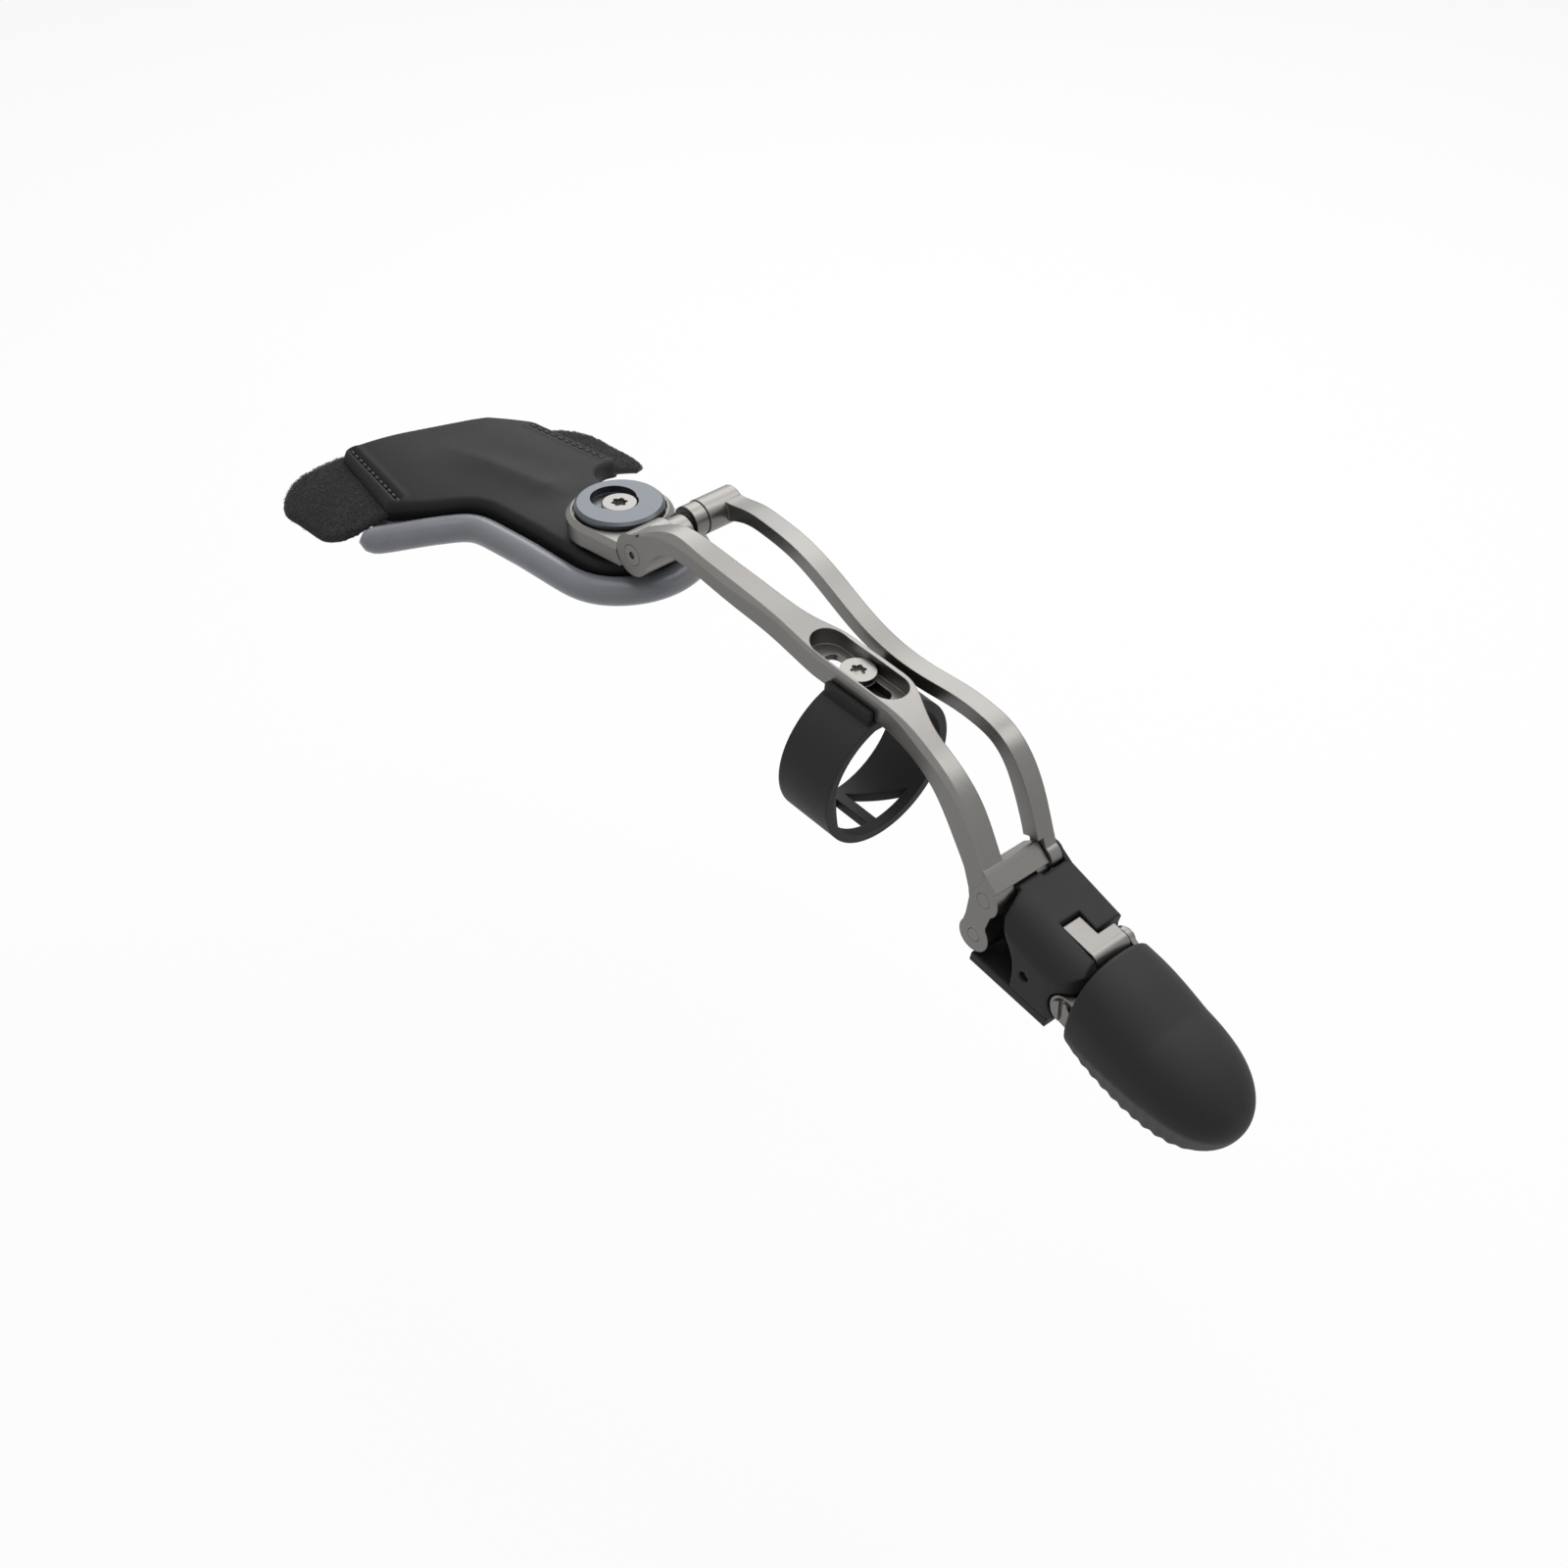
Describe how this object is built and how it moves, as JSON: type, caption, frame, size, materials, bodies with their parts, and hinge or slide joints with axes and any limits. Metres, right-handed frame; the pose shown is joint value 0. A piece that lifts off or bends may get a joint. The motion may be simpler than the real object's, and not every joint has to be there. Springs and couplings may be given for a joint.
{
  "type": "finger prosthesis",
  "caption": "Body-driven finger prosthesis: padded hand plate with strap tabs, swivelling yoke, crossed linkage arms, sliding finger ring, jointed middle phalanx and soft fingertip.",
  "frame": {"origin": "on the swivel axis, at the flat underside of the knuckle pad that rests on the back of the hand", "axes": "+X toward the fingertip, +Y toward the far side with the drive arm, +Z away from the back of the hand"},
  "size_m": [0.1431, 0.0403, 0.0431],
  "materials": {
    "machined_metal": "satin bead blasted",
    "disc_metal": "brushed, cool tone",
    "pin_metal": "turned",
    "black_shell": "fine grain",
    "ring_plastic": "matte",
    "cover_skin": "soft matte skin",
    "pad_silicone": "satin silicone",
    "strap_fabric": "brushed loop fabric",
    "tip_silicone": "matte silicone"
  },
  "bodies": {
    "backplate": {"base_plate": "black_shell", "back_cover": "cover_skin", "knuckle_pad": "pad_silicone", "near_strap": "strap_fabric", "far_strap": "strap_fabric", "pivot_post": "pin_metal", "post_rivets": "pin_metal", "pivot_disc": "disc_metal", "pivot_screw": "pin_metal"},
    "swivel": {"yoke": "machined_metal", "yoke_bush": "pin_metal", "mcp_pin": "pin_metal", "drive_pin": "pin_metal"},
    "proximal": {"near_arm": "machined_metal", "pip_pin": "pin_metal", "link_pin": "pin_metal"},
    "drive_arm": {"far_arm": "machined_metal"},
    "ring": {"ring_band": "ring_plastic", "ring_nut": "pin_metal", "ring_washer": "pin_metal", "ring_screw": "pin_metal"},
    "middle": {"middle_shell": "black_shell", "palmar_plate": "black_shell", "sole_screw": "pin_metal", "drive_stub": "pin_metal", "dip_pin": "pin_metal"},
    "tip_link": {"dip_link": "machined_metal"},
    "tip": {"tip_core": "machined_metal", "tip_cover": "tip_silicone", "link_barrel_pin": "pin_metal"}
  },
  "joints": [
    {"name": "abduction", "type": "hinge", "parent": "backplate", "child": "swivel", "pos_m": [0, 0, 0.006], "axis": [0, 0, 1], "range_deg": [-15, 15]},
    {"name": "mcp_flexion", "type": "hinge", "parent": "swivel", "child": "proximal", "pos_m": [0.0092, -0.003, 0.0079], "axis": [0, 1, 0], "range_deg": [-4, 40]},
    {"name": "far_hinge", "type": "hinge", "parent": "swivel", "child": "drive_arm", "pos_m": [0.00752, 0.0085, 0.00755], "axis": [0, 1, 0], "range_deg": [-3.93, 39.31]},
    {"name": "pip_flexion", "type": "hinge", "parent": "proximal", "child": "middle", "pos_m": [0.0656, 0, -0.0106], "axis": [0, 1, 0], "range_deg": [-2.93, 29.26]},
    {"name": "link_hinge", "type": "hinge", "parent": "proximal", "child": "tip_link", "pos_m": [0.0645, 0.0002, -0.016], "axis": [0, 1, 0], "range_deg": [-3.21, 32.11]},
    {"name": "dip_flexion", "type": "hinge", "parent": "middle", "child": "tip", "pos_m": [0.07751, 0, -0.01866], "axis": [0, 1, 0], "range_deg": [-4.03, 40.26]},
    {"name": "ring_slide", "type": "slide", "parent": "proximal", "child": "ring", "axis": [0.9925, 0, -0.1219], "range_m": [-0.003, 0.002]}
  ],
  "couplings": [
    {"joint": "far_hinge", "follows": "mcp_flexion", "ratio": 0.9827},
    {"joint": "pip_flexion", "follows": "mcp_flexion", "ratio": 0.7316},
    {"joint": "link_hinge", "follows": "mcp_flexion", "ratio": 0.8027},
    {"joint": "dip_flexion", "follows": "mcp_flexion", "ratio": 1.0064}
  ]
}
